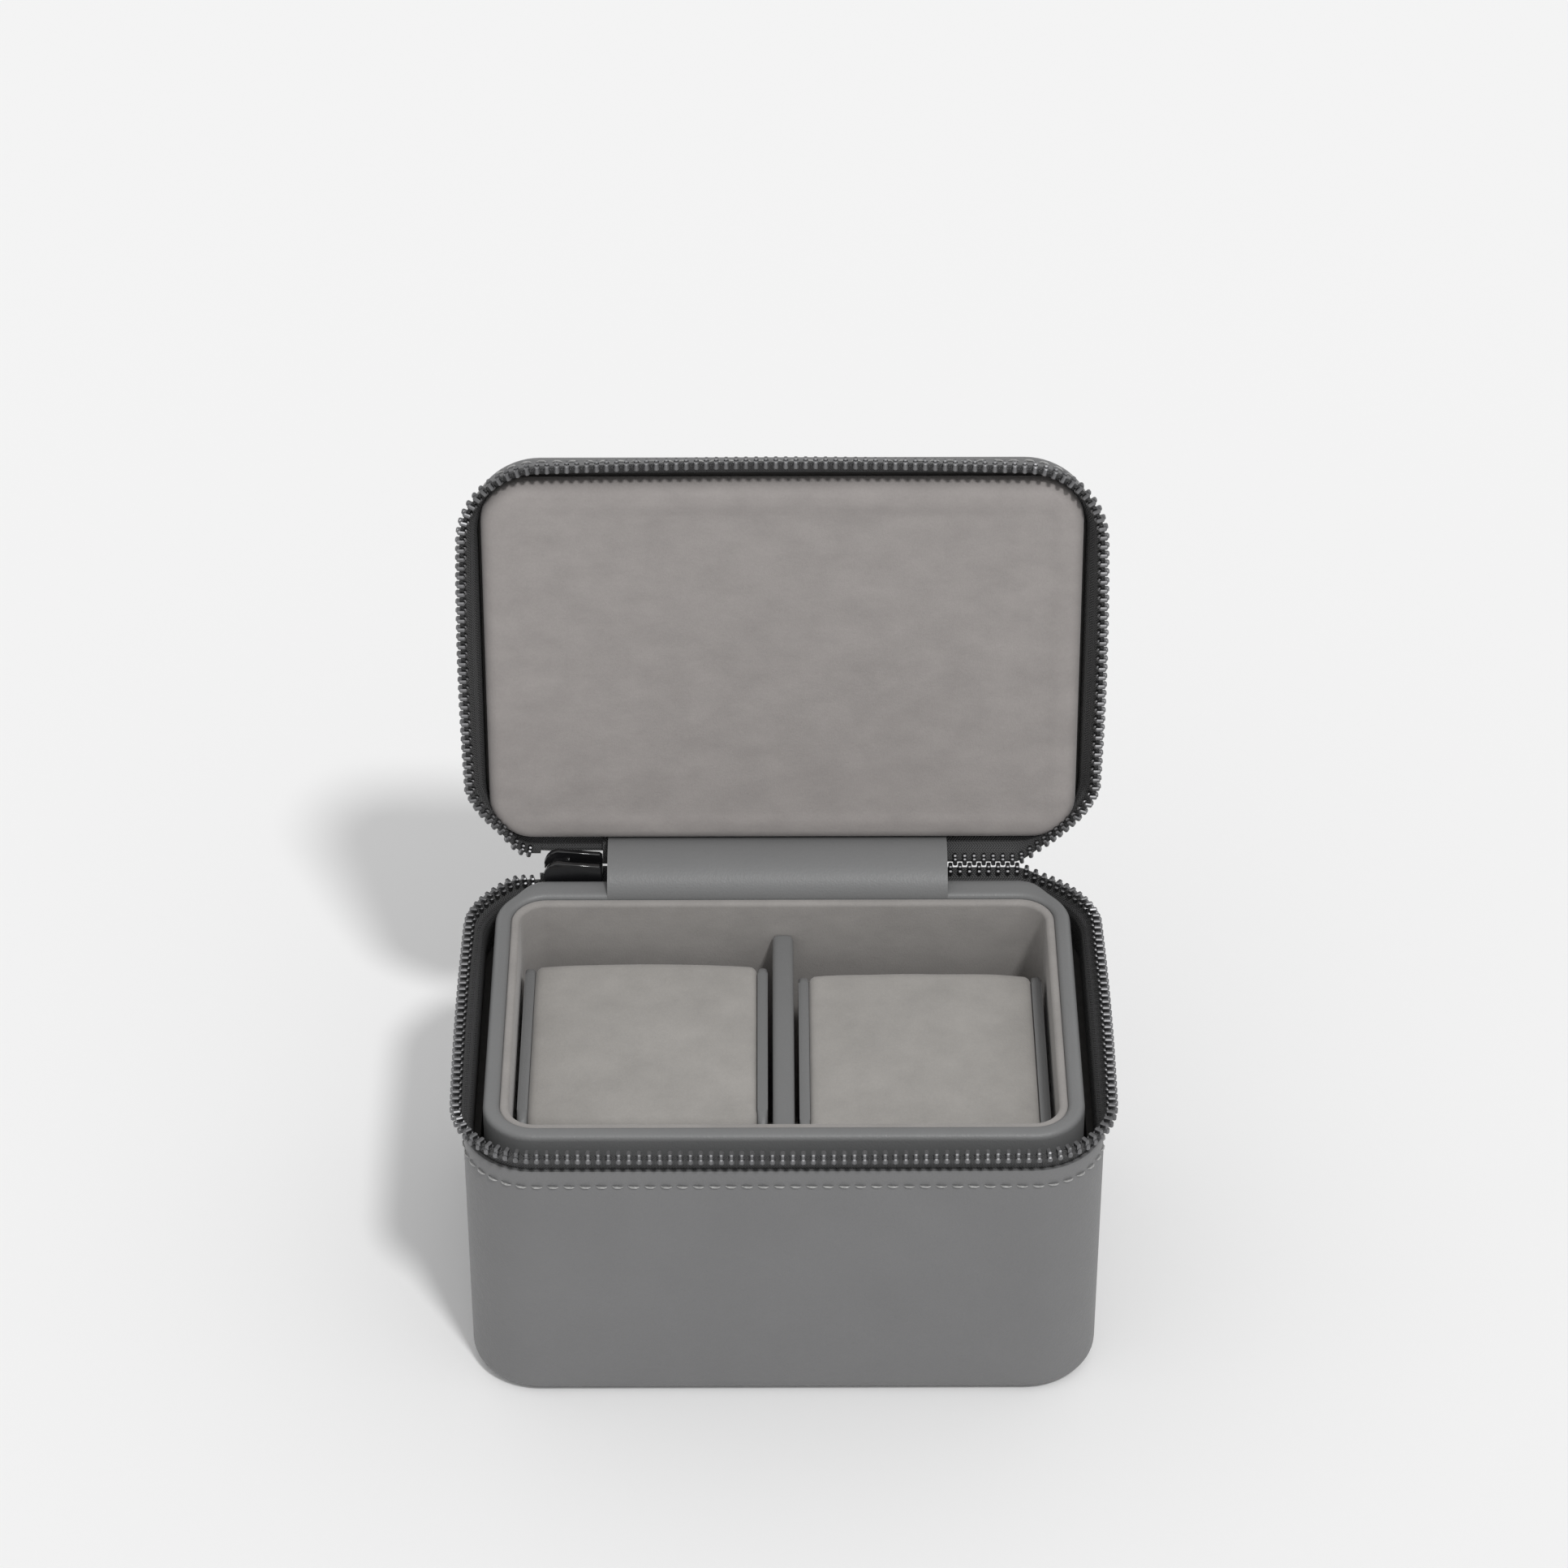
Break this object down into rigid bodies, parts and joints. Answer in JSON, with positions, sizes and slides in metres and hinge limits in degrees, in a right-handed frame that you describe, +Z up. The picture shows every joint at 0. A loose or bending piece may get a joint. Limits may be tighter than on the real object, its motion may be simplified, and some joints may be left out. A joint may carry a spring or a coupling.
{
  "type": "watch travel case",
  "caption": "Rectangular zipped travel case with a hinged lid, a lined inner tray, a divider and lift-out watch cushions.",
  "frame": {"origin": "middle of the box's underside, on the surface that the case stands on", "axes": "+Z up, +X to the right seen from the front, -Y the front with the open side, +Y the back with the lid's hinge"},
  "size_m": [0.1446, 0.1304, 0.1729],
  "materials": {
    "leather": "matte fine grain",
    "thin_leather": "matte smooth",
    "suede": "brushed nap",
    "board": "raw greyboard",
    "foam": "open cell foam",
    "zip_tape": "herringbone weave",
    "zip_metal": "gunmetal",
    "slider_metal": "gloss black",
    "thread": "waxed thread"
  },
  "bodies": {
    "base": {"base_side_leather": "leather", "base_bottom_leather": "leather", "base_side_board": "board", "base_bottom_board": "board", "base_zip_tape": "zip_tape", "base_zip_teeth": "zip_metal", "base_stitches": "thread", "tray_board": "board", "tray_collar_leather": "thin_leather", "tray_wall_lining": "suede", "tray_floor_lining": "suede", "divider_board": "board", "divider_leather": "thin_leather", "hinge_strip_inner": "thin_leather", "hinge_strip_outer": "thin_leather"},
    "lid": {"lid_leather": "leather", "lid_board": "board", "lid_zip_tape": "zip_tape", "lid_zip_teeth": "zip_metal", "lid_stitches": "thread", "lid_panel_suede": "suede", "lid_panel_foam": "foam", "lid_panel_board": "board", "lid_filler_foam": "foam"},
    "left_cushion": {"left_cushion_cover": "suede", "left_cushion_foam": "foam", "left_cushion_outer_plate": "thin_leather", "left_cushion_inner_plate": "thin_leather"},
    "right_cushion": {"right_cushion_cover": "suede", "right_cushion_foam": "foam", "right_cushion_outer_plate": "thin_leather", "right_cushion_inner_plate": "thin_leather"},
    "slider": {"zip_slider": "slider_metal"},
    "pull": {"pull_link": "zip_metal", "pull_tab": "thin_leather"}
  },
  "joints": [
    {"name": "lid_hinge", "type": "hinge", "parent": "base", "child": "lid", "pos_m": [0, 0.0506, 0.073], "axis": [-1, 0, 0], "range_deg": [-98, 0], "deforming": ["hinge_strip_inner", "hinge_strip_outer"]},
    {"name": "slider_slide", "type": "slide", "parent": "base", "child": "slider", "axis": [-1, 0, 0], "range_m": [0, 0.0045]},
    {"name": "pull_swing", "type": "hinge", "parent": "slider", "child": "pull", "pos_m": [-0.04825, 0.05396, 0.0716], "axis": [1, 0, 0], "range_deg": [-5, 60]},
    {"name": "left_cushion_lift", "type": "slide", "parent": "base", "child": "left_cushion", "axis": [0, 0, 1], "range_m": [0, 0.08]},
    {"name": "right_cushion_lift", "type": "slide", "parent": "base", "child": "right_cushion", "axis": [0, 0, 1], "range_m": [0, 0.08]}
  ]
}
